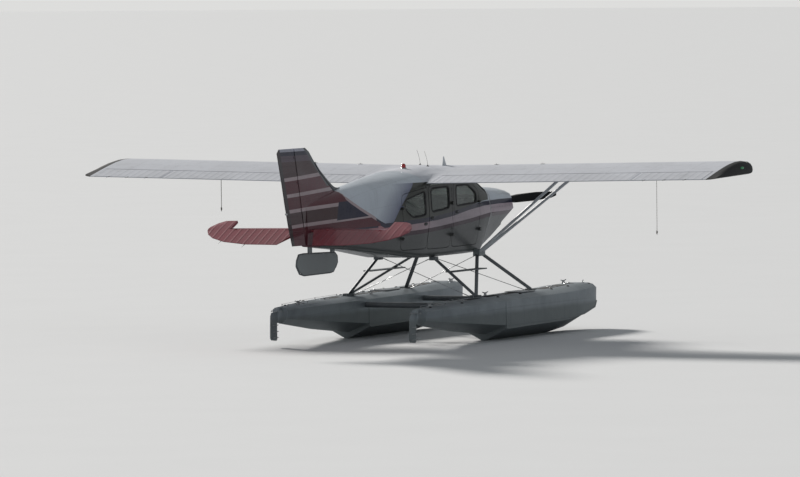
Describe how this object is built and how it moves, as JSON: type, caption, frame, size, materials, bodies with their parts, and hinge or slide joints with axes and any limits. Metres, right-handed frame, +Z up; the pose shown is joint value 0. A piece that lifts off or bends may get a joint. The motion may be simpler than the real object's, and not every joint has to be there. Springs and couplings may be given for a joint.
{
  "type": "floatplane",
  "caption": "Single-engine high-wing touring aircraft on twin floats, with strut-braced straight wings, tractor propeller and swept fin, parked level on its keels.",
  "frame": {"origin": "on the floor under the middle of the bounding box, at the height of the float keels", "axes": "+Z up, -Y towards the nose, +X towards the aircraft's left wing"},
  "size_m": [9.641, 7.94, 2.7774],
  "materials": {
    "white_paint": "glossy white aircraft enamel",
    "red_paint": "glossy dark maroon enamel",
    "grey_paint": "satin grey enamel",
    "black_paint": "satin black enamel",
    "aluminium": "weathered sheet with rivets",
    "engine_metal": "cast engine casing",
    "glass": "clear acrylic glazing",
    "seat_leather": "dark upholstery",
    "panel_plastic": "matt black panel",
    "rubber": "soft black bumper",
    "rope": "worn three-strand mooring rope"
  },
  "bodies": {
    "airframe": {"bow_bumper_left": "rubber", "bow_bumper_right": "rubber", "cabin_shell": "white_paint", "cowling": "white_paint", "engine_block": "engine_metal", "fin": "red_paint", "firewall": "aluminium", "float_left": "aluminium", "float_right": "aluminium", "float_strut_diagonal_left": "aluminium", "float_strut_diagonal_right": "aluminium", "float_strut_front_left": "aluminium", "float_strut_front_right": "aluminium", "float_strut_rear_left": "aluminium", "float_strut_rear_right": "aluminium", "instrument_panel": "panel_plastic", "rear_bench": "seat_leather", "roof_centre": "white_paint", "seat_front_left": "seat_leather", "seat_front_right": "seat_leather", "side_window_aft_left": "glass", "side_window_rear_left": "glass", "spreader_bar_front": "aluminium", "spreader_bar_rear": "aluminium", "stabiliser_left": "red_paint", "stabiliser_right": "red_paint", "strut_fitting_left": "grey_paint", "strut_fitting_right": "grey_paint", "tail_cone": "white_paint", "ventral_fin": "grey_paint", "windscreen": "glass", "wing_left": "white_paint", "wing_right": "white_paint", "wing_rope_left": "rope", "wing_rope_right": "rope", "wing_strut_front_left": "white_paint", "wing_strut_front_right": "white_paint", "wing_strut_rear_left": "white_paint", "wing_strut_rear_right": "white_paint", "wing_tip_left": "black_paint", "wing_tip_right": "black_paint"},
    "propeller": {"propeller": "black_paint", "spinner": "white_paint"},
    "door_front_left": {"door_front_left": "white_paint", "door_window_front_left": "glass"},
    "door_front_right": {"door_front_right": "white_paint", "door_window_front_right": "glass"},
    "door_rear_right": {"door_rear_right": "white_paint", "door_window_rear_right": "glass"},
    "door_cargo_right": {"door_cargo_right": "white_paint", "door_window_cargo_right": "glass"},
    "flap_left": {"flap_left": "white_paint"},
    "flap_right": {"flap_right": "white_paint"},
    "aileron_left": {"aileron_left": "white_paint"},
    "aileron_right": {"aileron_right": "white_paint"},
    "elevator": {"elevator": "red_paint"},
    "rudder": {"rudder": "red_paint"},
    "water_rudder_left": {"water_rudder_left": "aluminium"},
    "water_rudder_right": {"water_rudder_right": "aluminium"}
  },
  "joints": [
    {"name": "propeller_spin", "type": "hinge", "parent": "airframe", "child": "propeller", "pos_m": [0, -2.92, 1.83], "axis": [0, 1, 0], "continuous": true},
    {"name": "door_front_left_hinge", "type": "hinge", "parent": "airframe", "child": "door_front_left", "pos_m": [0.522, -1.426, 1.7], "axis": [0, 0, -1], "range_deg": [0, 48]},
    {"name": "door_front_right_hinge", "type": "hinge", "parent": "airframe", "child": "door_front_right", "pos_m": [-0.522, -1.426, 1.7], "axis": [0, 0, 1], "range_deg": [0, 48]},
    {"name": "door_rear_right_hinge", "type": "hinge", "parent": "airframe", "child": "door_rear_right", "pos_m": [-0.542, -0.482, 1.7], "axis": [0, 0, 1], "range_deg": [0, 85]},
    {"name": "door_cargo_right_hinge", "type": "hinge", "parent": "airframe", "child": "door_cargo_right", "pos_m": [-0.449, 0.936, 1.7], "axis": [0, 0, -1], "range_deg": [0, 85]},
    {"name": "flap_left_hinge", "type": "hinge", "parent": "airframe", "child": "flap_left", "pos_m": [0.59962, -0.00931, 2.25169], "axis": [-0.9998, 0, -0.0175], "range_deg": [0, 40]},
    {"name": "flap_right_hinge", "type": "hinge", "parent": "airframe", "child": "flap_right", "pos_m": [-0.59962, -0.00931, 2.25169], "axis": [-0.9998, 0, 0.0175], "range_deg": [0, 40]},
    {"name": "aileron_left_hinge", "type": "hinge", "parent": "airframe", "child": "aileron_left", "pos_m": [3.59716, -0.00931, 2.30401], "axis": [0.9998, 0, 0.0175], "range_deg": [-20, 20]},
    {"name": "aileron_right_hinge", "type": "hinge", "parent": "airframe", "child": "aileron_right", "pos_m": [-3.59716, -0.00931, 2.30401], "axis": [0.9998, 0, -0.0175], "range_deg": [-20, 20]},
    {"name": "elevator_hinge", "type": "hinge", "parent": "airframe", "child": "elevator", "pos_m": [0, 3.05, 1.65], "axis": [1, 0, 0], "range_deg": [-1, 47]},
    {"name": "rudder_hinge", "type": "hinge", "parent": "airframe", "child": "rudder", "pos_m": [0, 3.185, 1.46], "axis": [0, 0.246, 0.9693], "range_deg": [-25, 25]},
    {"name": "water_rudder_left_swivel", "type": "hinge", "parent": "airframe", "child": "water_rudder_left", "pos_m": [1.05, 1.855, 0.43], "axis": [0, 0, 1], "range_deg": [-25, 25]},
    {"name": "water_rudder_right_swivel", "type": "hinge", "parent": "airframe", "child": "water_rudder_right", "pos_m": [-1.05, 1.855, 0.43], "axis": [0, 0, 1], "range_deg": [-25, 25]}
  ],
  "couplings": [
    {"joint": "flap_right_hinge", "follows": "flap_left_hinge", "ratio": 1},
    {"joint": "aileron_right_hinge", "follows": "aileron_left_hinge", "ratio": -1},
    {"joint": "water_rudder_left_swivel", "follows": "rudder_hinge", "ratio": 1},
    {"joint": "water_rudder_right_swivel", "follows": "rudder_hinge", "ratio": 1}
  ]
}
